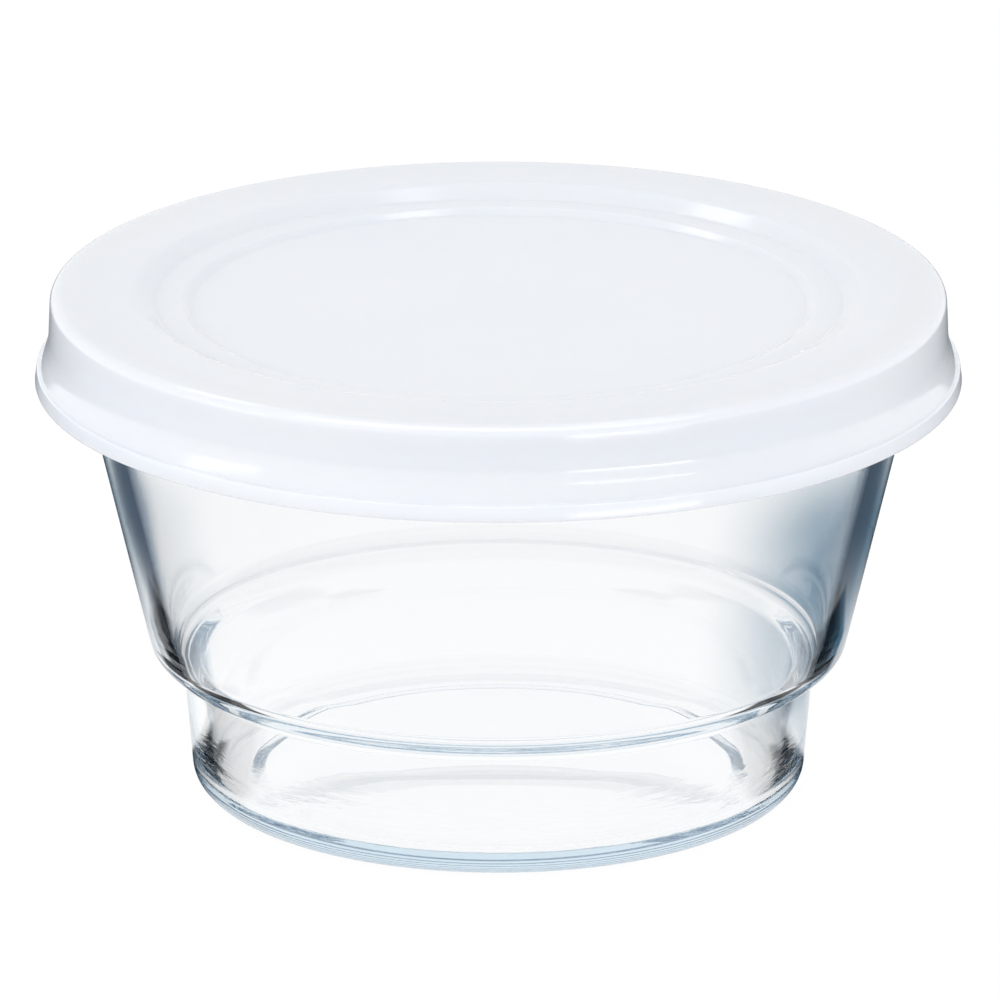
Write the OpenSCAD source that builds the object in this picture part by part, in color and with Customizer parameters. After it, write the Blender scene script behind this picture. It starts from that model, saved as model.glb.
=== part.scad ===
// A round pressed-glass bowl on a stepped foot, with a push-on lid of soft milky plastic.
// Millimetres, +Z up. The origin is the middle of the bowl's foot, on the table.
// Both pieces are turned round the Z axis. Each has one outline of corners, written as
// [distance from the axis, height, rounding], with every corner in order round the section.
// Every radius is reached from the glass rim inwards, and every height from the table or the rim.

/* [Bowl] */
// Height of the glass bowl, from the table to its rim
bowl_h = 71; // [64:0.5:80]
// Outer diameter of the glass at its rim
rim_d = 121.5; // [112:0.5:132]
// Lean of the glass wall from upright, in degrees
wall_lean = 13.2; // [9:0.1:15]
// Thickness of the glass at the rim, measured level
rim_wall = 2.9; // [2.2:0.1:4]
// Rounding of the rim's two edges
rim_round = 1.15; // [0.4:0.05:1.3]
// Thickness of the glass just above the shoulder, measured level
shoulder_wall = 3; // [2.4:0.1:4.4]
// Rounding of the shoulder's outer edge
shoulder_round = 4.2; // [1:0.1:4.6]
// Width of the step at the shoulder, from the foot's side out to the wall
step_w = 3.93; // [2.5:0.01:6]
// Rise of the step's underside as it runs outwards, in degrees
step_lean = 12; // [0:1:25]
// Rounding in the corner between the foot and the step
step_round = 1.8; // [0.5:0.1:2.2]

/* [Foot] */
// Height at which the foot meets the step
foot_h = 18.9; // [14:0.1:24]
// Lean of the foot's side from upright, in degrees
foot_lean = 5; // [2:0.1:7]
// Rounding between the foot's side and its base
foot_round = 3.6; // [1:0.1:4.5]
// Width of the ring that the foot stands on, out to where its side would meet the table
ring_w = 7.95; // [6:0.05:12]
// Depth of the shallow hollow inside that ring
hollow_depth = 0.6; // [0.3:0.1:1]
// Width of the hollow's sloping edge
hollow_edge_w = 2; // [1:0.1:4]
// Rounding of the hollow's bends
hollow_round = 1.2; // [0.4:0.1:2]

/* [Inside of the bowl] */
// Thickness of the glass in the middle of the floor, above the hollow
floor_wall = 2.4; // [2:0.1:4]
// Rounding between the floor and the foot's side
floor_round = 2.5; // [1:0.1:6]
// Thickness of the foot's side, measured level
foot_wall = 2.9; // [2.2:0.1:4]
// Height of the bend inside the foot, above the corner under the step
inner_bend_rise = 1; // [0.6:0.1:1.6]
// Height of the bend inside the shoulder, above the corner under the step
inner_shoulder_rise = 2.6; // [2.2:0.1:4]
// Rounding of the bend inside the foot
inner_bend_round = 2.5; // [1:0.1:3.5]
// Rounding of the bend inside the shoulder
inner_shoulder_round = 2.5; // [1:0.1:3.5]

/* [Lid] */
// Thickness of the lid's top
lid_wall = 1.3; // [0.9:0.05:1.8]
// Thickness of the lid's skirt
skirt_wall = 1.2; // [0.8:0.05:1.4]
// Rounding of the lid's top edge
lid_edge_round = 1.5; // [0.6:0.1:1.9]
// Lean of the skirt from upright, in degrees
skirt_lean = 2.5; // [0:0.1:4]
// Drop of the flare's start, below the middle of the grip bead
flare_drop = 2.5; // [2:0.1:4]
// Height of the flare, down to the lip
flare_h = 3.3; // [2.5:0.1:5]
// How far the flare carries the skirt out
flare_reach = 1.15; // [0.6:0.05:2]
// Rounding of the flare
flare_round = 9; // [4:0.5:10]
// Height of the lip round the lower edge
lip_h = 2.3; // [1.6:0.1:3]
// How far the lip stands out from the flare
lip_step = 0.5; // [0.3:0.05:0.8]
// Extra width of the lip at its lower edge
lip_spread = 0.3; // [0:0.05:0.5]
// Rounding of the lip's edges
lip_round = 0.35; // [0.1:0.05:0.45]

/* [Grip bead and sealing fin inside the lid] */
// Gap between the glass rim and the grip bead
grip_clearance = 0.3; // [0.2:0.05:0.5]
// How far the grip bead stands in from the skirt
grip_bead = 0.55; // [0.3:0.05:0.8]
// Half of the grip bead's height
grip_half_h = 1.1; // [0.8:0.1:1.5]
// Drop of the grip bead's middle, below the top of the glass
grip_drop = 3.6; // [2.6:0.1:4.6]
// Thickness of the fin that reaches into the bowl's mouth
fin_wall = 0.9; // [0.7:0.05:1.2]
// Depth of the fin below the top of the glass
fin_depth = 3; // [2:0.1:4]
// Gap between the fin and the glass
fin_clearance = 0.3; // [0.2:0.05:0.6]
// Rounding of the fin's edges
fin_round = 0.3; // [0.1:0.05:0.35]

/* [Stacking seat in the lid] */
// Sideways play of another bowl's foot on the sunk panel
stack_clearance = 0.15; // [0.05:0.05:0.5]
// Width of the slope from the sunk panel up to the ledge
panel_slope_w = 1.3; // [0.8:0.1:2]
// Depth of the sunk panel below the ledge
panel_depth = 0.8; // [0.4:0.1:1.2]
// Width of the ledge round the panel
seat_ledge_w = 3.8; // [3:0.1:5]
// Width of the slope from the ledge up to the top
seat_slope_w = 2.9; // [2:0.1:3.8]
// Depth of the ledge below the top
seat_depth = 1.6; // [1:0.1:2]
// Rounding of the seat's upper edge
seat_edge_round = 2.4; // [0.6:0.1:2.8]
// Rounding of the seat's other bends
seat_bend_round = 1; // [0.3:0.1:1.4]

/* [Hidden] */

// Steps round the full turn, and along each rounded corner
turn_steps = 180;
corner_steps = 9;
// The most that a rounding may take of the shorter side next to it
corner_share = 0.49;
// Angles of a whole turn and of half a turn, in degrees
whole_turn = 360;
half_turn = 180;

// Distance of the glass's outer face from the axis at a given height, on the wall and on the foot
rim_r = rim_d / 2;
function wall_face(z) = rim_r - (bowl_h - z) * tan(wall_lean);
step_in_r = wall_face(foot_h) - step_w;
foot_r = step_in_r - foot_h * tan(foot_lean);
function foot_face(z) = foot_r + z * tan(foot_lean);

// Outer corner of the shoulder, where the step's rising underside meets the wall
step_run = step_w / (1 - tan(step_lean) * tan(wall_lean));
shoulder_r = step_in_r + step_run;
shoulder_z = foot_h + step_run * tan(step_lean);

// The ring under the foot, and the hollow inside it
ring_in_r = foot_r - ring_w;
hollow_r = ring_in_r - hollow_edge_w;

// Corners of the cavity, from its floor up to the inside of the shoulder
floor_z = hollow_depth + floor_wall;
floor_r = foot_face(floor_z) - foot_wall;
inner_bend_z = foot_h + inner_bend_rise;
inner_bend_r = foot_face(inner_bend_z) - foot_wall;
inner_shoulder_z = foot_h + inner_shoulder_rise;
inner_shoulder_r = wall_face(inner_shoulder_z) - shoulder_wall;

// Heights of the lid, which rests on the glass rim
lid_top_z = bowl_h + lid_wall;
ledge_z = lid_top_z - seat_depth;
panel_z = ledge_z - panel_depth;
grip_z = bowl_h - grip_drop;
grip_top_z = grip_z + grip_half_h;
grip_low_z = grip_z - grip_half_h;
flare_z = grip_z - flare_drop;
lip_z = flare_z - flare_h;
lid_low_z = lip_z - lip_h;
fin_low_z = bowl_h - fin_depth;

// Distance of the skirt's inner face from the axis, and the radii that lead on from it
grip_r = rim_r + grip_clearance;
skirt_r = grip_r + grip_bead;
function skirt_face(z) = skirt_r + (bowl_h - z) * tan(skirt_lean);
flare_r = skirt_face(flare_z);
lip_r = flare_r + flare_reach;
lip_low_r = lip_r + lip_step;

// The fin's two faces, which follow the glass at the fin's lower edge
fin_r = wall_face(fin_low_z) - rim_wall - fin_clearance;
fin_in_r = fin_r - fin_wall;

// Radii of the stacking seat, which takes the foot of another bowl
panel_r = foot_r + stack_clearance;
ledge_in_r = panel_r + panel_slope_w;
ledge_out_r = ledge_in_r + seat_ledge_w;
seat_r = ledge_out_r + seat_slope_w;

// Outward shift of the underside on a slope, which keeps the top as thick there as elsewhere
function slope_shift(run, drop) = lid_wall * tan(atan2(drop, run) / 2);
panel_shift = slope_shift(panel_slope_w, panel_depth);
seat_shift = slope_shift(seat_slope_w, seat_depth);

function unit(v) = v / norm(v);

// Turn from one angle to another by the shorter way
function shorter_turn(from, to) = (to - from + whole_turn + half_turn) % whole_turn - half_turn;

// Points of one corner, rounded by an arc that touches the sides on both hands
function rounded_corner(before, corner, after) =
    let (
        here = [corner[0], corner[1]],
        back = [before[0], before[1]] - here,
        ahead = [after[0], after[1]] - here,
        half_angle = acos(unit(back) * unit(ahead)) / 2,
        room = corner_share * min(norm(back), norm(ahead)),
        reach = min(corner[2] / tan(half_angle), room),
        radius = reach * tan(half_angle),
        centre = here + radius / sin(half_angle) * unit(unit(back) + unit(ahead)),
        start = here + reach * unit(back) - centre,
        end = here + reach * unit(ahead) - centre,
        first = atan2(start[1], start[0]),
        sweep = shorter_turn(first, atan2(end[1], end[0]))
    )
    corner[2] == 0
        ? [here]
        : [for (i = [0 : corner_steps])
            let (angle = first + sweep * i / corner_steps)
            centre + radius * [cos(angle), sin(angle)]];

// The whole outline with its corners rounded
function rounded_outline(corners) =
    let (count = len(corners))
    [for (i = [0 : count - 1])
        each rounded_corner(corners[(i + count - 1) % count], corners[i], corners[(i + 1) % count])];

// A solid turned round the axis from an outline of corners
module turned(corners) {
    rotate_extrude($fn = turn_steps)
        polygon(rounded_outline(corners));
}

// Corners of the glass, from the middle of its underside, up the outside and down the inside
bowl_corners = [
    [0, hollow_depth, 0],
    [hollow_r, hollow_depth, hollow_round],
    [ring_in_r, 0, hollow_round],
    [foot_r, 0, foot_round],
    [step_in_r, foot_h, step_round],
    [shoulder_r, shoulder_z, shoulder_round],
    [rim_r, bowl_h, rim_round],
    [rim_r - rim_wall, bowl_h, rim_round],
    [inner_shoulder_r, inner_shoulder_z, inner_shoulder_round],
    [inner_bend_r, inner_bend_z, inner_bend_round],
    [floor_r, floor_z, floor_round],
    [0, floor_z, 0],
];

// Corners of the lid's top face, from the middle out to the lip's lower edge
lid_outer_corners = [
    [0, panel_z, 0],
    [panel_r, panel_z, seat_bend_round],
    [ledge_in_r, ledge_z, seat_bend_round],
    [ledge_out_r, ledge_z, seat_bend_round],
    [seat_r, lid_top_z, seat_edge_round],
    [skirt_face(lid_top_z) + skirt_wall, lid_top_z, lid_edge_round],
    [flare_r + skirt_wall, flare_z, flare_round],
    [lip_r + skirt_wall, lip_z, lip_round],
    [lip_low_r + skirt_wall, lip_z, lip_round],
    [lip_low_r + skirt_wall + lip_spread, lid_low_z, lip_round],
];

// Corners of its hidden face, from the lip's lower edge back to the middle
lid_inner_corners = [
    [lip_low_r, lid_low_z, lip_round],
    [lip_r, lip_z, flare_round],
    [flare_r, flare_z, flare_round],
    [skirt_face(grip_low_z), grip_low_z, grip_bead],
    [grip_r, grip_z, grip_bead],
    [skirt_face(grip_top_z), grip_top_z, grip_bead],
    [skirt_r, bowl_h, grip_bead],
    [fin_r, bowl_h, fin_round],
    [fin_r, fin_low_z, fin_round],
    [fin_in_r, fin_low_z, fin_round],
    [fin_in_r, bowl_h, fin_round],
    [seat_r + seat_shift, bowl_h, seat_edge_round],
    [ledge_out_r + seat_shift, ledge_z - lid_wall, seat_bend_round],
    [ledge_in_r + panel_shift, ledge_z - lid_wall, seat_bend_round],
    [panel_r + panel_shift, panel_z - lid_wall, seat_bend_round],
    [0, panel_z - lid_wall, 0],
];

module bowl() {
    color("lightcyan")
        turned(bowl_corners);
}

module lid() {
    color("whitesmoke")
        turned(concat(lid_outer_corners, lid_inner_corners));
}

bowl();
lid();
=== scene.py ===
"""Dresses the lidded glass bowl and lights it in a plain pale studio.

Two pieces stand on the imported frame: the pressed-glass bowl and its milky push-on lid.
Each is turned from a section of named corners, drawn, rounded and spun with Blender's own
operators. The sizes of the pieces are in millimetres, as a maker would note them, and become
metres in the mesh. Those of the finishes, lamps, cards and camera are in metres.
"""

import logging
import math
from dataclasses import dataclass, field
from enum import Enum
from typing import Callable, NamedTuple

import bmesh
import bpy
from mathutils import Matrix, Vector


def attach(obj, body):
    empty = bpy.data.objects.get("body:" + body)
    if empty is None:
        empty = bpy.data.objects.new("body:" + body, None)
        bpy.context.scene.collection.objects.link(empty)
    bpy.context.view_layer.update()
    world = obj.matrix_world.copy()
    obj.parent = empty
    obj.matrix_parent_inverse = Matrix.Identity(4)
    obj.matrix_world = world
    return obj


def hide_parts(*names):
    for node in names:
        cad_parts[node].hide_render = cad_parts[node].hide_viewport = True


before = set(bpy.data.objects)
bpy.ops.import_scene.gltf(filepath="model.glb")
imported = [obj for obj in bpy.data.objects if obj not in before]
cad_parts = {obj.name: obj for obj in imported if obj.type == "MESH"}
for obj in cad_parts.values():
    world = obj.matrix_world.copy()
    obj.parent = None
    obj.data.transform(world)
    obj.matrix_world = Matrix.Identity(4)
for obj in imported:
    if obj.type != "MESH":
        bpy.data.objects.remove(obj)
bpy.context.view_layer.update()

logging.basicConfig(level=logging.INFO, format="%(message)s")
log = logging.getLogger("lidded_bowl")

MM = 0.001
# Metres within which two vertices count as one.
WELD_REACH = 2e-6
# The bevel profile that is an arc of a circle.
ROUND_PROFILE = 0.5
# Cuts made in a stretch, from the longest stretches down.
CUT_STEPS = (24, 16, 12, 8, 6, 4, 3, 2, 1)
NODE_SPACING = 190
# Places of a Mix node's sockets when it mixes colours.
COLOUR_SHARE, COLOUR_FIRST, COLOUR_SECOND, COLOUR_RESULT = 0, 6, 7, 2

Colour = tuple[float, float, float]
Place = tuple[float, float, float]
Limits = tuple[float, float]
SocketOrNumber = bpy.types.NodeSocket | float
WHITE: Colour = (1.0, 1.0, 1.0)


class Body(Enum):
    """The bodies of the frame that a piece can ride on."""

    BOWL = "bowl"
    LID = "lid"


class Meets(Enum):
    """What a card of the studio shows in: what is seen through glass, what shines, or both."""

    GLASS = "glass"
    GLOSS = "gloss"
    EITHER = "either"


class CardShape(Enum):
    """The outline in which a card fades out."""

    SHEET = "sheet"
    RING = "ring"


class SectionCorner(NamedTuple):
    """One corner of a turned piece's section, in millimetres."""

    radius: float
    height: float
    rounding: float = 0.0


class Speckle(NamedTuple):
    """An uneven pattern: spots per metre along each axis, finer layers and their strength."""

    scale: Place
    detail: float
    roughness: float = 0.5


def tangent(degrees: float) -> float:
    """Tangent of an angle in degrees."""
    return math.tan(math.radians(degrees))


def deselect_everything() -> None:
    """Leaves edit mode and selects nothing, so that an operator can't touch another piece."""
    if bpy.context.object is not None and bpy.context.object.mode != "OBJECT":
        bpy.ops.object.mode_set(mode="OBJECT")
    bpy.ops.object.select_all(action="DESELECT")


def select_vertices(obj: bpy.types.Object, wanted: Callable[[Vector], bool]) -> None:
    """Selects the vertices of the piece in edit mode by their place.

    Args:
        obj: The piece, in edit mode.
        wanted: Says of a vertex's place whether it is selected.
    """
    bpy.ops.mesh.select_mode(type="VERT")
    bpy.ops.mesh.select_all(action="DESELECT")
    mesh = bmesh.from_edit_mesh(obj.data)
    for vertex in mesh.verts:
        if wanted(vertex.co):
            vertex.select_set(True)
    mesh.select_flush(True)
    bmesh.update_edit_mesh(obj.data)


def select_edges(obj: bpy.types.Object, wanted: Callable[[bmesh.types.BMEdge], bool]) -> int:
    """Selects edges of the piece in edit mode by what they are.

    Args:
        obj: The piece, in edit mode.
        wanted: Says of an edge whether it is selected.

    Returns:
        The number of edges selected.
    """
    bpy.ops.mesh.select_mode(type="EDGE")
    bpy.ops.mesh.select_all(action="DESELECT")
    mesh = bmesh.from_edit_mesh(obj.data)
    chosen = [edge for edge in mesh.edges if wanted(edge)]
    for edge in chosen:
        edge.select_set(True)
    bmesh.update_edit_mesh(obj.data)
    return len(chosen)


class NodeBench:
    """Lays out and joins the nodes of one material or world."""

    def __init__(self, tree: bpy.types.NodeTree) -> None:
        """Starts with an empty tree.

        Args:
            tree: The node tree of the material or world.
        """
        self.tree = tree
        self.tree.nodes.clear()
        self.column = 0

    def add(self, kind: str, **settings: object) -> bpy.types.Node:
        """Adds a node.

        Args:
            kind: The node's type name.
            settings: Its properties, and its inputs by name with spaces written as underscores.

        Returns:
            The new node.
        """
        node = self.tree.nodes.new(kind)
        node.location = (self.column * NODE_SPACING, 0)
        self.column += 1
        for name, value in settings.items():
            if hasattr(node, name):
                setattr(node, name, value)
            else:
                node.inputs[name.replace("_", " ")].default_value = value
        return node

    def join(self, start: bpy.types.NodeSocket, end: bpy.types.NodeSocket) -> None:
        """Links an output to an input."""
        self.tree.links.new(start, end)

    def sum_up(self, operation: str, first: SocketOrNumber,
               second: SocketOrNumber = 0.0) -> bpy.types.NodeSocket:
        """Does one piece of arithmetic.

        Args:
            operation: Blender's name of the operation.
            first: A socket or a number.
            second: A socket or a number.

        Returns:
            The socket that holds the result.
        """
        node = self.add("ShaderNodeMath", operation=operation)
        for place, value in enumerate((first, second)):
            if isinstance(value, bpy.types.NodeSocket):
                self.join(value, node.inputs[place])
            else:
                node.inputs[place].default_value = value
        return node.outputs[0]

    def ease(self, value: bpy.types.NodeSocket, start: float, end: float,
             low: float = 0.0, high: float = 1.0) -> bpy.types.NodeSocket:
        """Runs a value smoothly from one number to another.

        Args:
            value: The socket that is read.
            start: Where the change starts.
            end: Where it ends.
            low: The result at the start.
            high: The result at the end.

        Returns:
            The socket that holds the result.
        """
        node = self.add("ShaderNodeMapRange", interpolation_type="SMOOTHSTEP")
        self.join(value, node.inputs["Value"])
        node.inputs["From Min"].default_value = start
        node.inputs["From Max"].default_value = end
        node.inputs["To Min"].default_value = low
        node.inputs["To Max"].default_value = high
        return node.outputs[0]

    def speckle(self, place: bpy.types.NodeSocket, pattern: Speckle) -> bpy.types.NodeSocket:
        """Makes an uneven pattern that is fixed to the piece.

        Args:
            place: The piece's own coordinates.
            pattern: The pattern's measures.

        Returns:
            The socket that holds the pattern, from 0 to 1.
        """
        mapping = self.add("ShaderNodeMapping")
        mapping.inputs["Scale"].default_value = pattern.scale
        self.join(place, mapping.inputs["Vector"])
        noise = self.add("ShaderNodeTexNoise", Scale=1.0, Detail=pattern.detail,
                         Roughness=pattern.roughness)
        self.join(mapping.outputs[0], noise.inputs["Vector"])
        return noise.outputs["Fac"]

    def mix_colours(self, share: bpy.types.NodeSocket, first: Colour,
                    second: Colour | bpy.types.NodeSocket) -> bpy.types.NodeSocket:
        """Mixes two colours.

        Args:
            share: The socket that holds the second colour's share.
            first: The first colour.
            second: The second colour, or a socket that holds it.

        Returns:
            The socket that holds the mixed colour.
        """
        mix = self.add("ShaderNodeMix", data_type="RGBA")
        mix.inputs[COLOUR_FIRST].default_value = (*first, 1.0)
        self.join(share, mix.inputs[COLOUR_SHARE])
        if isinstance(second, bpy.types.NodeSocket):
            self.join(second, mix.inputs[COLOUR_SECOND])
        else:
            mix.inputs[COLOUR_SECOND].default_value = (*second, 1.0)
        return mix.outputs[COLOUR_RESULT]

    def direct_rays(self) -> bpy.types.NodeSocket:
        """Tells the rays that show the set from those that light matt surfaces.

        Returns:
            The socket that is 1 for camera, glossy and transmission rays and 0 for all others.
        """
        path = self.add("ShaderNodeLightPath")
        first = self.sum_up("MAXIMUM", path.outputs["Is Camera Ray"], path.outputs["Is Glossy Ray"])
        return self.sum_up("MAXIMUM", first, path.outputs["Is Transmission Ray"])


def start_material(name: str) -> tuple[bpy.types.Material, NodeBench]:
    """Starts a material.

    Args:
        name: The material's name.

    Returns:
        The material, and the empty bench for its nodes.
    """
    material = bpy.data.materials.new(name)
    material.use_nodes = True
    return material, NodeBench(material.node_tree)


@dataclass(frozen=True)
class ClearGlass:
    """Clear pressed glass, fire-polished, with a faint blue tint, wrinkles from the mould and
    painted shade where it is seen edge on.
    """

    name: str = "clear_glass"
    ior: float = 1.5
    body_tint: Colour = (0.50, 0.72, 0.86)
    tint_density: float = 9.0
    # Painted shade: the glass's colour darkens to blue-grey where it is seen edge on, standing in
    # for the dark surroundings seen through the edges of the walls.
    painted_rim_shade: tuple[tuple[float, Colour], ...] = (
        (0.00, (1.00, 1.00, 1.00)),
        (0.76, (1.00, 1.00, 1.00)),
        (0.84, (0.62, 0.71, 0.78)),
        (0.91, (0.25, 0.32, 0.39)),
        (0.97, (0.14, 0.19, 0.25)),
        (1.00, (0.35, 0.45, 0.52)),
    )
    # Slopes of the normal over which the painted edge shade fades out, from upright faces to level
    # ones.
    painted_shade_slopes: Limits = (0.35, 0.8)
    polish: Speckle = Speckle((90.0, 90.0, 60.0), 3.0)
    polish_spots: Limits = (0.66, 0.78)
    polish_roughness: float = 0.03
    waves: Speckle = Speckle((24.0, 24.0, 20.0), 1.0)
    wave_depth: float = 0.00003
    wrinkles: Speckle = Speckle((110.0, 110.0, 700.0), 3.0, 0.6)
    wrinkle_depth: float = 0.00006
    wrinkle_start: Limits = (0.0030, 0.0050)
    wrinkle_end: Limits = (0.0075, 0.0135)

    def make(self) -> bpy.types.Material:
        """Builds the material.

        Returns:
            The material, with its absorption in the volume.
        """
        material, bench = start_material(self.name)
        place = bench.add("ShaderNodeTexCoord")
        shader = bench.add("ShaderNodeBsdfPrincipled")
        shader.inputs["Transmission Weight"].default_value = 1.0
        shader.inputs["IOR"].default_value = self.ior
        output = bench.add("ShaderNodeOutputMaterial")
        bench.join(shader.outputs[0], output.inputs["Surface"])
        absorption = bench.add("ShaderNodeVolumeAbsorption")
        absorption.inputs["Color"].default_value = (*self.body_tint, 1.0)
        absorption.inputs["Density"].default_value = self.tint_density
        bench.join(absorption.outputs[0], output.inputs["Volume"])
        self._paint_edge_shade(bench, place, shader)
        self._polish(bench, place, shader)
        self._wrinkle(bench, place, shader)
        return material

    def _paint_edge_shade(self, bench: NodeBench, place: bpy.types.Node, shader: bpy.types.Node) -> None:
        """Paints shade into the glass's colour where it is seen edge on, on its upright faces.

        Args:
            bench: The material's nodes.
            place: The node that gives the piece's own coordinates and normals.
            shader: The glass shader, which takes the tint.
        """
        weight = bench.add("ShaderNodeLayerWeight")
        weight.inputs["Blend"].default_value = 0.5
        ramp = bench.add("ShaderNodeValToRGB")
        ramp.color_ramp.interpolation = "EASE"
        stops = ramp.color_ramp.elements
        while len(stops) < len(self.painted_rim_shade):
            stops.new(1.0)
        for stop, (position, colour) in zip(stops, self.painted_rim_shade):
            stop.position = position
            stop.color = (*colour, 1.0)
        bench.join(weight.outputs["Facing"], ramp.inputs[0])
        split = bench.add("ShaderNodeSeparateXYZ")
        bench.join(place.outputs["Normal"], split.inputs[0])
        slope = bench.sum_up("ABSOLUTE", split.outputs["Z"])
        upright = bench.ease(slope, *self.painted_shade_slopes, 1.0, 0.0)
        # Painted shade: the edge ramp's dark colour is mixed in on upright faces only.
        painted_edge_shade = bench.mix_colours(upright, WHITE, ramp.outputs[0])
        bench.join(painted_edge_shade, shader.inputs["Base Color"])

    def _polish(self, bench: NodeBench, place: bpy.types.Node, shader: bpy.types.Node) -> None:
        """Leaves the faintest unevenness in the polish, in a few spots.

        Args:
            bench: The material's nodes.
            place: The node that gives the piece's own coordinates.
            shader: The glass shader, which takes the roughness.
        """
        spots = bench.speckle(place.outputs["Object"], self.polish)
        bench.join(bench.ease(spots, *self.polish_spots, 0.0, self.polish_roughness),
                   shader.inputs["Roughness"])

    def _wrinkle(self, bench: NodeBench, place: bpy.types.Node, shader: bpy.types.Node) -> None:
        """Adds slow waves to the whole bowl and fine level wrinkles to its foot.

        Args:
            bench: The material's nodes.
            place: The node that gives the piece's own coordinates.
            shader: The glass shader, which takes the bump.
        """
        where = place.outputs["Object"]
        waves = bench.speckle(where, self.waves)
        wrinkles = bench.speckle(where, self.wrinkles)
        split = bench.add("ShaderNodeSeparateXYZ")
        bench.join(where, split.inputs[0])
        above = bench.ease(split.outputs["Z"], *self.wrinkle_start)
        below = bench.ease(split.outputs["Z"], *self.wrinkle_end, 1.0, 0.0)
        zone = bench.sum_up("MULTIPLY", above, below)
        slow = bench.add("ShaderNodeBump", Strength=1.0, Distance=self.wave_depth)
        bench.join(waves, slow.inputs["Height"])
        fine = bench.add("ShaderNodeBump", Distance=self.wrinkle_depth)
        bench.join(zone, fine.inputs["Strength"])
        bench.join(wrinkles, fine.inputs["Height"])
        bench.join(slow.outputs[0], fine.inputs["Normal"])
        bench.join(fine.outputs[0], shader.inputs["Normal"])


@dataclass(frozen=True)
class MilkyPlastic:
    """Soft milky plastic with a satin skin, which lets a little light through."""

    name: str = "milky_plastic"
    pale: Colour = (0.842, 0.872, 0.962)
    deep: Colour = (0.824, 0.857, 0.953)
    ior: float = 1.5
    glow: float = 0.75
    glow_reach: Place = (0.0016, 0.0017, 0.0019)
    satin: Limits = (0.09, 0.14)
    spots: Limits = (0.3, 0.7)
    clouds: Speckle = Speckle((26.0, 26.0, 60.0), 4.0)
    sheen: Speckle = Speckle((70.0, 70.0, 70.0), 5.0)
    waves: Speckle = Speckle((30.0, 30.0, 30.0), 1.0)
    wave_depth: float = 0.00005
    grain: Speckle = Speckle((260.0, 260.0, 260.0), 1.0)
    grain_depth: float = 0.000003

    def make(self) -> bpy.types.Material:
        """Builds the material.

        Returns:
            The material.
        """
        material, bench = start_material(self.name)
        place = bench.add("ShaderNodeTexCoord").outputs["Object"]
        shader = bench.add("ShaderNodeBsdfPrincipled")
        shader.inputs["IOR"].default_value = self.ior
        shader.inputs["Subsurface Weight"].default_value = self.glow
        shader.inputs["Subsurface Radius"].default_value = self.glow_reach
        shader.inputs["Subsurface Scale"].default_value = 1.0
        output = bench.add("ShaderNodeOutputMaterial")
        bench.join(shader.outputs[0], output.inputs["Surface"])
        cloud = bench.ease(bench.speckle(place, self.clouds), *self.spots)
        shade = bench.mix_colours(cloud, self.pale, self.deep)
        bench.join(shade, shader.inputs["Base Color"])
        sheen = bench.ease(bench.speckle(place, self.sheen), *self.spots, *self.satin)
        bench.join(sheen, shader.inputs["Roughness"])
        waves = bench.add("ShaderNodeBump", Strength=1.0, Distance=self.wave_depth)
        bench.join(bench.speckle(place, self.waves), waves.inputs["Height"])
        grain = bench.add("ShaderNodeBump", Strength=1.0, Distance=self.grain_depth)
        bench.join(bench.speckle(place, self.grain), grain.inputs["Height"])
        bench.join(waves.outputs[0], grain.inputs["Normal"])
        bench.join(grain.outputs[0], shader.inputs["Normal"])
        return material


@dataclass(frozen=True)
class PaleFloor:
    """A white floor that keeps a soft share of the shadow cast on it."""

    name: str = "pale_floor"
    colour: Colour = (0.95, 0.955, 0.965)
    white: float = 1.02
    shadow_share: float = 0.05

    def make(self) -> bpy.types.Material:
        """Builds the material.

        Returns:
            The material.
        """
        material, bench = start_material(self.name)
        matt = bench.add("ShaderNodeBsdfDiffuse")
        matt.inputs["Color"].default_value = (*self.colour, 1.0)
        white = bench.add("ShaderNodeEmission", Strength=self.white)
        seen = bench.add("ShaderNodeMixShader")
        seen.inputs[0].default_value = 1.0 - self.shadow_share
        bench.join(matt.outputs[0], seen.inputs[1])
        bench.join(white.outputs[0], seen.inputs[2])
        choice = bench.add("ShaderNodeMixShader")
        bench.join(bench.direct_rays(), choice.inputs[0])
        bench.join(matt.outputs[0], choice.inputs[1])
        bench.join(seen.outputs[0], choice.inputs[2])
        output = bench.add("ShaderNodeOutputMaterial")
        bench.join(choice.outputs[0], output.inputs["Surface"])
        return material


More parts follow.
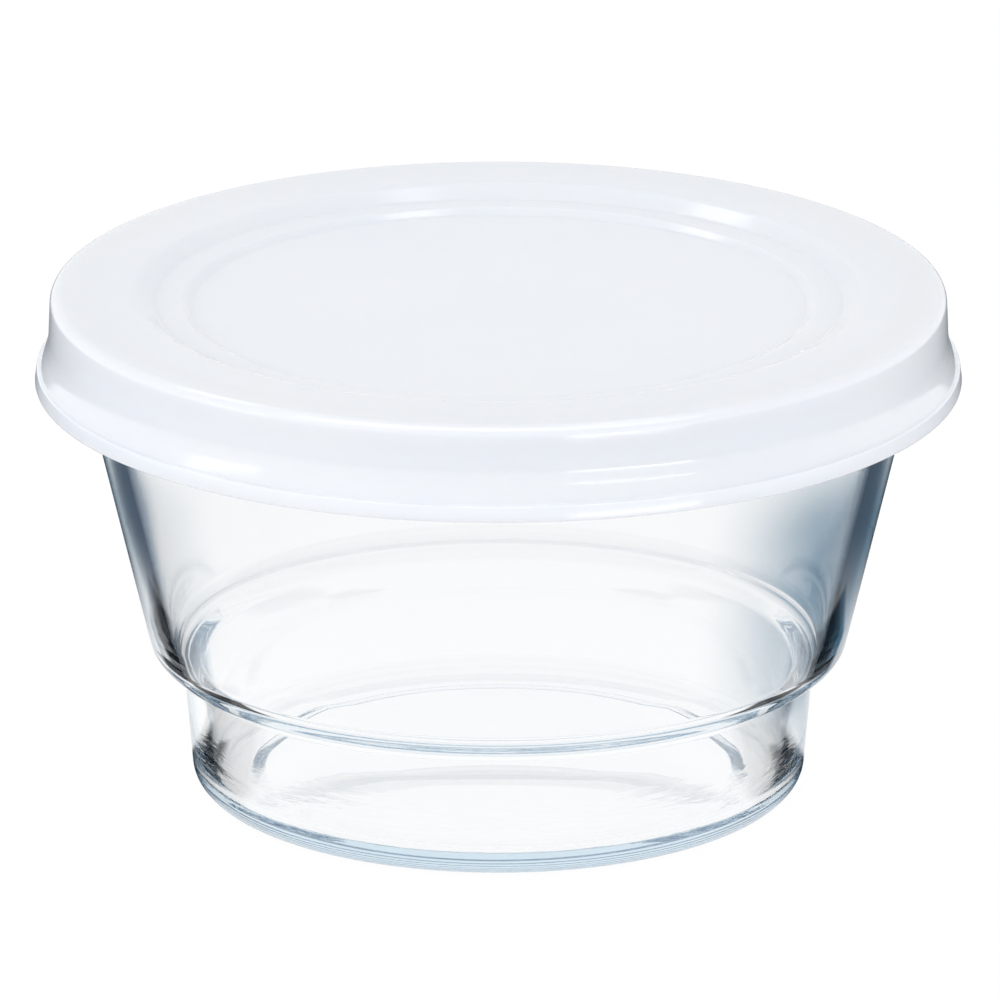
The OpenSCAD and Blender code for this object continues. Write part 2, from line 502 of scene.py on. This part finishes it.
@dataclass(frozen=True)
class CardFace:
    """The face of a studio card, which fades out; its sizes are shares of the card's width."""

    name: str
    colour: Colour
    shape: CardShape
    fade: float
    edge: float = 0.5
    ring_edge_start: float = 0.4
    ring_growth: float = 1.8

    def make(self) -> bpy.types.Material:
        """Builds the material.

        Returns:
            The material.
        """
        material, bench = start_material(self.name)
        where = bench.add("ShaderNodeTexCoord").outputs["UV"]
        middle = bench.add("ShaderNodeVectorMath", operation="SUBTRACT")
        middle.inputs[1].default_value = (self.edge, self.edge, 0.0)
        bench.join(where, middle.inputs[0])
        draw_cover = self._ring if self.shape is CardShape.RING else self._sheet
        cover = draw_cover(bench, middle)
        dark = bench.add("ShaderNodeEmission", Strength=1.0)
        dark.inputs["Color"].default_value = (*self.colour, 1.0)
        clear = bench.add("ShaderNodeBsdfTransparent")
        blend = bench.add("ShaderNodeMixShader")
        bench.join(cover, blend.inputs[0])
        bench.join(clear.outputs[0], blend.inputs[1])
        bench.join(dark.outputs[0], blend.inputs[2])
        output = bench.add("ShaderNodeOutputMaterial")
        bench.join(blend.outputs[0], output.inputs["Surface"])
        return material

    def _sheet(self, bench: NodeBench, middle: bpy.types.Node) -> bpy.types.NodeSocket:
        """Covers a sheet that fades towards its four edges.

        Args:
            bench: The material's nodes.
            middle: The node that gives places on the card, measured from its middle.

        Returns:
            The socket that holds the cover, from 0 to 1.
        """
        split = bench.add("ShaderNodeSeparateXYZ")
        bench.join(middle.outputs[0], split.inputs[0])
        sides = []
        for axis in ("X", "Y"):
            offset = bench.sum_up("ABSOLUTE", split.outputs[axis])
            sides.append(bench.ease(offset, self.edge - self.fade, self.edge, 1.0, 0.0))
        return bench.sum_up("MULTIPLY", *sides)

    def _ring(self, bench: NodeBench, middle: bpy.types.Node) -> bpy.types.NodeSocket:
        """Covers a ring that fades towards its open middle and its outer edge.

        Args:
            bench: The material's nodes.
            middle: The node that gives places on the card, measured from its middle.

        Returns:
            The socket that holds the cover, from 0 to 1.
        """
        length = bench.add("ShaderNodeVectorMath", operation="LENGTH")
        bench.join(middle.outputs[0], length.inputs[0])
        radius = length.outputs["Value"]
        inside = bench.ease(radius, self.fade, self.fade * self.ring_growth)
        outside = bench.ease(radius, self.ring_edge_start, self.edge, 1.0, 0.0)
        return bench.sum_up("MULTIPLY", inside, outside)


@dataclass
class TurnedPiece:
    """A piece turned round the upright axis from a section of rounded corners."""

    name: str
    node: str
    body: Body
    slot: str
    turn_steps: int = 288
    corner_steps: int = 9
    stretch: float = 4.0
    corner_share: float = 0.49

    def corners(self) -> list[SectionCorner]:
        """Lists the section's corners in order, from the axis round and back to it."""
        raise NotImplementedError

    def finish(self) -> bpy.types.Material:
        """Makes the piece's material."""
        raise NotImplementedError

    def build(self) -> bpy.types.Object:
        """Models the piece.

        Returns:
            The finished piece, riding on its body in place of its node.
        """
        obj = self._draw_section()
        self._round_corners(obj)
        self._divide_stretches(obj)
        self._spin()
        self._dress(obj)
        return obj

    def _draw_section(self) -> bpy.types.Object:
        """Draws the section as one line, from the edge of a plane whose other corners go.

        Returns:
            The line, in edit mode.
        """
        corners = self.corners()
        first, second = corners[0], corners[1]
        side = (second.radius - first.radius) * MM
        deselect_everything()
        middle = (side / 2, side / 2, first.height * MM)
        bpy.ops.mesh.primitive_plane_add(size=side, location=middle)
        obj = bpy.context.object
        obj.name = obj.data.name = self.name
        bpy.ops.object.transform_apply(location=True, rotation=True, scale=True)
        bpy.ops.object.mode_set(mode="EDIT")
        select_vertices(obj, lambda co: co.y > side / 2)
        bpy.ops.mesh.delete(type="VERT")
        select_vertices(obj, lambda co: co.x > side / 2)
        for last, corner in zip(corners[1:], corners[2:]):
            step = ((corner.radius - last.radius) * MM, 0.0, (corner.height - last.height) * MM)
            bpy.ops.mesh.extrude_region()
            bpy.ops.transform.translate(value=step)
        return obj

    def _round_corners(self, obj: bpy.types.Object) -> None:
        """Rounds each corner of the section by its own radius.

        Args:
            obj: The section, in edit mode.
        """
        corners = self.corners()
        for before, corner, after in zip(corners, corners[1:], corners[2:]):
            if corner.rounding <= 0.0:
                continue
            here = Vector((corner.radius, corner.height))
            back = Vector((before.radius, before.height)) - here
            ahead = Vector((after.radius, after.height)) - here
            half_angle = back.angle(ahead) / 2
            room = self.corner_share * min(back.length, ahead.length)
            reach = min(corner.rounding / math.tan(half_angle), room)
            spot = Vector((corner.radius * MM, 0.0, corner.height * MM))
            select_vertices(obj, lambda co: (co - spot).length < WELD_REACH)
            bpy.ops.mesh.bevel(offset=reach * MM, offset_type="OFFSET", segments=self.corner_steps,
                               profile=ROUND_PROFILE, affect="VERTICES")

    def _divide_stretches(self, obj: bpy.types.Object) -> None:
        """Divides the straight stretches, so that the smooth shading stays true to the form.

        Args:
            obj: The section, in edit mode.
        """
        limit = self.stretch * MM
        for cuts in CUT_STEPS:
            found = select_edges(obj, lambda edge: edge.calc_length() > limit * cuts)
            if found:
                bpy.ops.mesh.subdivide(number_cuts=cuts)

    def _spin(self) -> None:
        """Spins the section in edit mode round the axis and closes the seam and the poles."""
        bpy.ops.mesh.select_all(action="SELECT")
        bpy.ops.mesh.spin(steps=self.turn_steps, angle=math.tau, center=(0.0, 0.0, 0.0),
                          axis=(0.0, 0.0, 1.0))
        bpy.ops.mesh.select_all(action="SELECT")
        bpy.ops.mesh.remove_doubles(threshold=WELD_REACH)
        bpy.ops.mesh.normals_make_consistent(inside=False)
        bpy.ops.object.mode_set(mode="OBJECT")
        bpy.ops.object.shade_smooth()

    def _dress(self, obj: bpy.types.Object) -> None:
        """Gives the piece its finish and its place in the frame.

        Args:
            obj: The spun piece.
        """
        obj.data.materials.clear()
        obj.data.materials.append(self.finish())
        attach(obj, self.body.value)
        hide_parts(self.node)


@dataclass
class GlassBowl(TurnedPiece):
    """The pressed-glass bowl: a leaning wall, a shoulder, a stepped foot and a thin floor."""

    name: str = "glass_bowl"
    node: str = "bowl"
    body: Body = Body.BOWL
    slot: str = "clear_glass"
    glass: ClearGlass = field(default_factory=ClearGlass)
    height: float = 71.0
    rim_diameter: float = 121.5
    wall_lean: float = 13.2
    rim_wall: float = 2.9
    rim_round: float = 1.15
    shoulder_wall: float = 3.0
    shoulder_round: float = 4.2
    step_width: float = 3.93
    step_lean: float = 12.0
    step_round: float = 1.8
    foot_height: float = 18.9
    foot_lean: float = 5.0
    foot_round: float = 3.6
    ring_width: float = 7.95
    hollow_depth: float = 0.6
    hollow_edge_width: float = 2.0
    hollow_round: float = 1.2
    floor_wall: float = 2.4
    floor_round: float = 2.5
    foot_wall: float = 2.9
    inner_bend_rise: float = 1.0
    inner_shoulder_rise: float = 2.6
    inner_bend_round: float = 2.5
    inner_shoulder_round: float = 2.5

    @property
    def rim_radius(self) -> float:
        """Outer radius at the rim."""
        return self.rim_diameter / 2

    @property
    def foot_radius(self) -> float:
        """Radius at which the foot's side would meet the table."""
        return self.step_radius - self.foot_height * tangent(self.foot_lean)

    @property
    def step_radius(self) -> float:
        """Radius of the corner between the foot and the step."""
        return self.wall_face(self.foot_height) - self.step_width

    def wall_face(self, height: float) -> float:
        """Radius of the wall's outer face at a height."""
        return self.rim_radius - (self.height - height) * tangent(self.wall_lean)

    def foot_face(self, height: float) -> float:
        """Radius of the foot's outer face at a height."""
        return self.foot_radius + height * tangent(self.foot_lean)

    def corners(self) -> list[SectionCorner]:
        """Lists the corners of the glass, up the outside and down the inside.

        Returns:
            The corners, from the middle of the base to the middle of the floor.
        """
        run = self.step_width / (1 - tangent(self.step_lean) * tangent(self.wall_lean))
        ring_inside = self.foot_radius - self.ring_width
        floor = self.hollow_depth + self.floor_wall
        bend = self.foot_height + self.inner_bend_rise
        shoulder = self.foot_height + self.inner_shoulder_rise
        return [
            SectionCorner(0.0, self.hollow_depth),
            SectionCorner(ring_inside - self.hollow_edge_width, self.hollow_depth,
                          self.hollow_round),
            SectionCorner(ring_inside, 0.0, self.hollow_round),
            SectionCorner(self.foot_radius, 0.0, self.foot_round),
            SectionCorner(self.step_radius, self.foot_height, self.step_round),
            SectionCorner(self.step_radius + run, self.foot_height + run * tangent(self.step_lean),
                          self.shoulder_round),
            SectionCorner(self.rim_radius, self.height, self.rim_round),
            SectionCorner(self.rim_radius - self.rim_wall, self.height, self.rim_round),
            SectionCorner(self.wall_face(shoulder) - self.shoulder_wall, shoulder,
                          self.inner_shoulder_round),
            SectionCorner(self.foot_face(bend) - self.foot_wall, bend, self.inner_bend_round),
            SectionCorner(self.foot_face(floor) - self.foot_wall, floor, self.floor_round),
            SectionCorner(0.0, floor),
        ]

    def finish(self) -> bpy.types.Material:
        """Makes the clear glass."""
        return self.glass.make()


@dataclass
class PlasticLid(TurnedPiece):
    """The push-on lid: a sunk stacking seat, a flared skirt with a lip, a bead and a fin."""

    bowl: GlassBowl = field(default_factory=GlassBowl)
    name: str = "plastic_lid"
    node: str = "lid"
    body: Body = Body.LID
    slot: str = "milky_plastic"
    plastic: MilkyPlastic = field(default_factory=MilkyPlastic)
    top_wall: float = 1.3
    skirt_wall: float = 1.2
    edge_round: float = 1.5
    skirt_lean: float = 2.5
    flare_drop: float = 2.5
    flare_height: float = 3.3
    flare_reach: float = 1.15
    flare_round: float = 9.0
    lip_height: float = 2.3
    lip_step: float = 0.5
    lip_spread: float = 0.3
    lip_round: float = 0.35
    grip_clearance: float = 0.3
    grip_bead: float = 0.55
    grip_half_height: float = 1.1
    grip_drop: float = 3.6
    fin_wall: float = 0.9
    fin_depth: float = 3.0
    fin_clearance: float = 0.3
    fin_round: float = 0.3
    stack_clearance: float = 0.15
    panel_slope_width: float = 1.3
    panel_depth: float = 0.8
    ledge_width: float = 3.8
    seat_slope_width: float = 2.9
    seat_depth: float = 1.6
    seat_edge_round: float = 2.4
    seat_bend_round: float = 1.0

    def skirt_face(self, height: float) -> float:
        """Radius of the skirt's inner face at a height."""
        inside = self.bowl.rim_radius + self.grip_clearance + self.grip_bead
        return inside + (self.bowl.height - height) * tangent(self.skirt_lean)

    def slope_shift(self, run: float, drop: float) -> float:
        """Outward shift of the underside on a slope, which keeps the top's thickness."""
        return self.top_wall * math.tan(math.atan2(drop, run) / 2)

    def corners(self) -> list[SectionCorner]:
        """Lists the corners of the lid, over its top and back along its hidden face."""
        return self._top_corners() + self._hidden_corners()

    def _top_corners(self) -> list[SectionCorner]:
        """Lists the corners of the top face, from the middle out to the lip.

        Returns:
            The first half of the lid's corners.
        """
        top = self.bowl.height + self.top_wall
        ledge = top - self.seat_depth
        panel = ledge - self.panel_depth
        flare = self.bowl.height - self.grip_drop - self.flare_drop
        lip = flare - self.flare_height
        panel_radius = self.bowl.foot_radius + self.stack_clearance
        ledge_inside = panel_radius + self.panel_slope_width
        ledge_outside = ledge_inside + self.ledge_width
        flare_radius = self.skirt_face(flare) + self.skirt_wall
        lip_radius = flare_radius + self.flare_reach
        return [
            SectionCorner(0.0, panel),
            SectionCorner(panel_radius, panel, self.seat_bend_round),
            SectionCorner(ledge_inside, ledge, self.seat_bend_round),
            SectionCorner(ledge_outside, ledge, self.seat_bend_round),
            SectionCorner(ledge_outside + self.seat_slope_width, top, self.seat_edge_round),
            SectionCorner(self.skirt_face(top) + self.skirt_wall, top, self.edge_round),
            SectionCorner(flare_radius, flare, self.flare_round),
            SectionCorner(lip_radius, lip, self.lip_round),
            SectionCorner(lip_radius + self.lip_step, lip, self.lip_round),
            SectionCorner(lip_radius + self.lip_step + self.lip_spread, lip - self.lip_height,
                          self.lip_round),
        ]

    def _hidden_corners(self) -> list[SectionCorner]:
        """Lists the corners of the hidden face, from the lip back to the middle.

        Returns:
            The second half of the lid's corners.
        """
        rim = self.bowl.height
        ledge = rim + self.top_wall - self.seat_depth
        panel = ledge - self.panel_depth
        grip = rim - self.grip_drop
        grip_top, grip_low = grip + self.grip_half_height, grip - self.grip_half_height
        flare = grip - self.flare_drop
        lip = flare - self.flare_height
        lip_radius = self.skirt_face(flare) + self.flare_reach
        fin_low = rim - self.fin_depth
        fin_radius = self.bowl.wall_face(fin_low) - self.bowl.rim_wall - self.fin_clearance
        fin_inside = fin_radius - self.fin_wall
        panel_radius = (self.bowl.foot_radius + self.stack_clearance
                        + self.slope_shift(self.panel_slope_width, self.panel_depth))
        seat_shift = self.slope_shift(self.seat_slope_width, self.seat_depth)
        ledge_outside = (self.bowl.foot_radius + self.stack_clearance + self.panel_slope_width
                         + self.ledge_width + seat_shift)
        return [
            SectionCorner(lip_radius + self.lip_step, lip - self.lip_height, self.lip_round),
            SectionCorner(lip_radius, lip, self.flare_round),
            SectionCorner(self.skirt_face(flare), flare, self.flare_round),
            SectionCorner(self.skirt_face(grip_low), grip_low, self.grip_bead),
            SectionCorner(self.bowl.rim_radius + self.grip_clearance, grip, self.grip_bead),
            SectionCorner(self.skirt_face(grip_top), grip_top, self.grip_bead),
            SectionCorner(self.skirt_face(rim), rim, self.grip_bead),
            SectionCorner(fin_radius, rim, self.fin_round),
            SectionCorner(fin_radius, fin_low, self.fin_round),
            SectionCorner(fin_inside, fin_low, self.fin_round),
            SectionCorner(fin_inside, rim, self.fin_round),
            SectionCorner(ledge_outside + self.seat_slope_width, rim, self.seat_edge_round),
            SectionCorner(ledge_outside, ledge - self.top_wall, self.seat_bend_round),
            SectionCorner(panel_radius + self.panel_slope_width, ledge - self.top_wall,
                          self.seat_bend_round),
            SectionCorner(panel_radius, panel - self.top_wall, self.seat_bend_round),
            SectionCorner(0.0, panel - self.top_wall),
        ]

    def finish(self) -> bpy.types.Material:
        """Makes the milky plastic."""
        return self.plastic.make()


@dataclass(frozen=True)
class SoftLamp:
    """A soft lamp that faces the bowl and doesn't show through the glass.

    Its place is given round the bowl: the turn is from the camera's side, to the right. A lamp
    that is shine_only shows as a highlight, and any other only lights matt surfaces.
    """

    name: str
    turn: float
    elevation: float
    distance: float
    width: float
    height: float
    power: float
    shine_only: bool = False
    aim_height: float = 0.05

    def place(self) -> Vector:
        """Works out where the lamp stands.

        Returns:
            The middle of the lamp.
        """
        turn, rise = math.radians(self.turn), math.radians(self.elevation)
        level = self.distance * math.cos(rise)
        return Vector((level * math.sin(turn), -level * math.cos(turn),
                       self.aim_height + self.distance * math.sin(rise)))

    def add(self) -> None:
        """Adds the lamp."""
        lamp = bpy.data.lights.new(self.name, "AREA")
        lamp.shape = "RECTANGLE"
        lamp.size, lamp.size_y = self.width, self.height
        lamp.energy = self.power
        obj = bpy.data.objects.new(self.name, lamp)
        obj.location = self.place()
        aim = Vector((0.0, 0.0, self.aim_height)) - obj.location
        obj.rotation_euler = aim.to_track_quat("-Z", "Y").to_euler()
        obj.visible_camera = False
        obj.visible_transmission = False
        obj.visible_diffuse = not self.shine_only
        obj.visible_glossy = self.shine_only
        bpy.context.scene.collection.objects.link(obj)


@dataclass(frozen=True)
class FloorCard:
    """A dark card, or a sheet of painted shade, that lies by the bowl and shows in the glass, in
    the gloss or in both.
    """

    name: str
    centre: Place
    width: float
    depth: float
    colour: Colour
    meets: Meets
    shape: CardShape = CardShape.SHEET
    fade: float = 0.25
    turn: float = 0.0

    def add(self) -> None:
        """Adds the card."""
        deselect_everything()
        bpy.ops.mesh.primitive_plane_add(size=1.0, location=self.centre)
        card = bpy.context.object
        card.name = self.name
        card.scale = (self.width, self.depth, 1.0)
        card.rotation_euler.z = math.radians(self.turn)
        face = CardFace(self.name + "_face", self.colour, self.shape, self.fade)
        card.data.materials.append(face.make())
        card.visible_camera = False
        card.visible_diffuse = False
        card.visible_shadow = False
        card.visible_transmission = self.meets is not Meets.GLOSS
        card.visible_glossy = self.meets is not Meets.GLASS


@dataclass
class Studio:
    """The plain pale set: floor, surrounding white, soft lamps and cards on the floor, some of them
    near-black sheets of painted shade beside the bowl.
    """

    floor_size: float = 8.0
    floor_drop: float = 0.0002
    surround: float = 0.81
    # Each lamp's name, turn, elevation, distance, width, height and power.
    lamps: tuple[SoftLamp, ...] = (
        SoftLamp("front_left_lamp", -70.0, 22.0, 1.5, 0.9, 0.6, 5.4),
        SoftLamp("front_right_lamp", 48.0, 22.0, 1.5, 0.9, 0.6, 4.2),
        SoftLamp("left_strip", -68.0, 13.0, 0.45, 0.16, 0.03, 0.045, True),
        SoftLamp("right_strip_high", 31.0, 11.0, 0.45, 0.24, 0.012, 0.075, True),
        SoftLamp("right_strip_low", 31.0, -4.0, 0.45, 0.24, 0.012, 0.10, True),
        SoftLamp("top_sheet", 0.0, 68.0, 0.9, 1.3, 0.5, 5.0, True),
        SoftLamp("back_left_lamp", -138.0, 52.0, 1.0, 0.38, 0.14, 0.4, True),
        SoftLamp("back_right_lamp", 139.0, 70.0, 1.0, 0.30, 0.12, 0.30, True),
    )
    # Each card's name, centre, width, depth, colour and what it shows in.
    cards: tuple[FloorCard, ...] = (
        FloorCard("left_blue_card", (-0.098, 0.050, 0.0003), 0.058, 0.150,
                  (0.11, 0.22, 0.32), Meets.GLASS, fade=0.25),
        FloorCard("right_blue_card", (0.0800, 0.068, 0.0003), 0.098, 0.150,
                  (0.10, 0.23, 0.34), Meets.GLASS, fade=0.31, turn=-4.0),
        FloorCard("left_dark_card", (-0.0975, 0.060, 0.0004), 0.050, 0.130,
                  (0.09, 0.12, 0.17), Meets.GLASS, fade=0.22, turn=14.0),
        FloorCard("right_dark_card", (0.0945, 0.060, 0.0004), 0.052, 0.140,
                  (0.07, 0.10, 0.14), Meets.GLASS, fade=0.21, turn=-14.0),
        # Painted shade: the near-black shoulder and foot sheets lie beside and under the bowl,
        # where its shade falls, and show only through the glass and in gloss.
        FloorCard("left_shoulder_painted_shade", (-0.0760, 0.024, 0.0006), 0.022, 0.050,
                  (0.006, 0.009, 0.013), Meets.EITHER, fade=0.14, turn=8.0),
        FloorCard("right_shoulder_painted_shade", (0.0750, 0.022, 0.0006), 0.022, 0.046,
                  (0.006, 0.009, 0.013), Meets.EITHER, fade=0.14, turn=-8.0),
        FloorCard("left_foot_painted_shade", (-0.0545, -0.006, 0.0007), 0.030, 0.034,
                  (0.004, 0.006, 0.009), Meets.EITHER, fade=0.12),
        FloorCard("right_foot_painted_shade", (0.0540, -0.007, 0.0007), 0.030, 0.032,
                  (0.004, 0.006, 0.009), Meets.EITHER, fade=0.15),
        FloorCard("ring_card", (0.0, 0.0, 0.0005), 1.3, 1.3, (0.03, 0.05, 0.07), Meets.GLOSS,
                  CardShape.RING, fade=0.05),
    )
    light_bounces: int = 64

    def build(self) -> None:
        """Sets up the studio."""
        paths = bpy.context.scene.cycles
        paths.max_bounces = paths.transmission_bounces = paths.glossy_bounces = self.light_bounces
        self._lay_floor()
        self._light_surround()
        for lamp in self.lamps:
            lamp.add()
            log.info("lamp %s", lamp.name)
        for card in self.cards:
            card.add()
            log.info("card %s", card.name)

    def _lay_floor(self) -> None:
        """Lays the floor just under the bowl's foot."""
        deselect_everything()
        bpy.ops.mesh.primitive_plane_add(size=self.floor_size,
                                         location=(0.0, 0.0, -self.floor_drop))
        floor = bpy.context.object
        floor.name = "studio_floor"
        floor.data.materials.append(PaleFloor().make())

    def _light_surround(self) -> None:
        """Surrounds the set with white, weaker for matt surfaces than for the eye and glass."""
        world = bpy.data.worlds.new("studio_surround")
        bpy.context.scene.world = world
        world.use_nodes = True
        bench = NodeBench(world.node_tree)
        light = bench.add("ShaderNodeBackground")
        light.inputs["Color"].default_value = (*WHITE, 1.0)
        bench.join(bench.ease(bench.direct_rays(), 0.0, 1.0, self.surround, 1.0),
                   light.inputs["Strength"])
        output = bench.add("ShaderNodeOutputWorld")
        bench.join(light.outputs[0], output.inputs["Surface"])


@dataclass(frozen=True)
class StudioCamera:
    """The camera, which looks down on the bowl from the front."""

    aim: Place = (0.0, 0.0, 0.0412)
    distance: float = 1.872
    elevation: float = 18.3
    pixels_per_metre: float = 7108.0
    image_width: float = 1000.0
    film_width: float = 36.0
    shift: float = 0.0016

    def add(self) -> None:
        """Adds the camera and makes it the scene's own."""
        rise = math.radians(self.elevation)
        look = Vector((0.0, math.cos(rise), -math.sin(rise)))
        camera = bpy.data.cameras.new("studio_camera")
        camera.sensor_width = self.film_width
        camera.lens = self.pixels_per_metre * self.distance * self.film_width / self.image_width
        camera.shift_x = self.shift
        obj = bpy.data.objects.new("studio_camera", camera)
        obj.location = Vector(self.aim) - look * self.distance
        obj.rotation_euler = look.to_track_quat("-Z", "Y").to_euler()
        bpy.context.scene.collection.objects.link(obj)
        bpy.context.scene.camera = obj


def main() -> None:
    """Builds the bowl, the lid and the studio, in that order."""
    bowl = GlassBowl()
    for piece in (bowl, PlasticLid(bowl=bowl)):
        obj = piece.build()
        log.info("piece %s: %d faces, stands for %s", obj.name, len(obj.data.polygons), piece.node)
    Studio().build()
    StudioCamera().add()
    bpy.context.scene.view_settings.view_transform = "Standard"


if __name__ == "__main__":
    main()
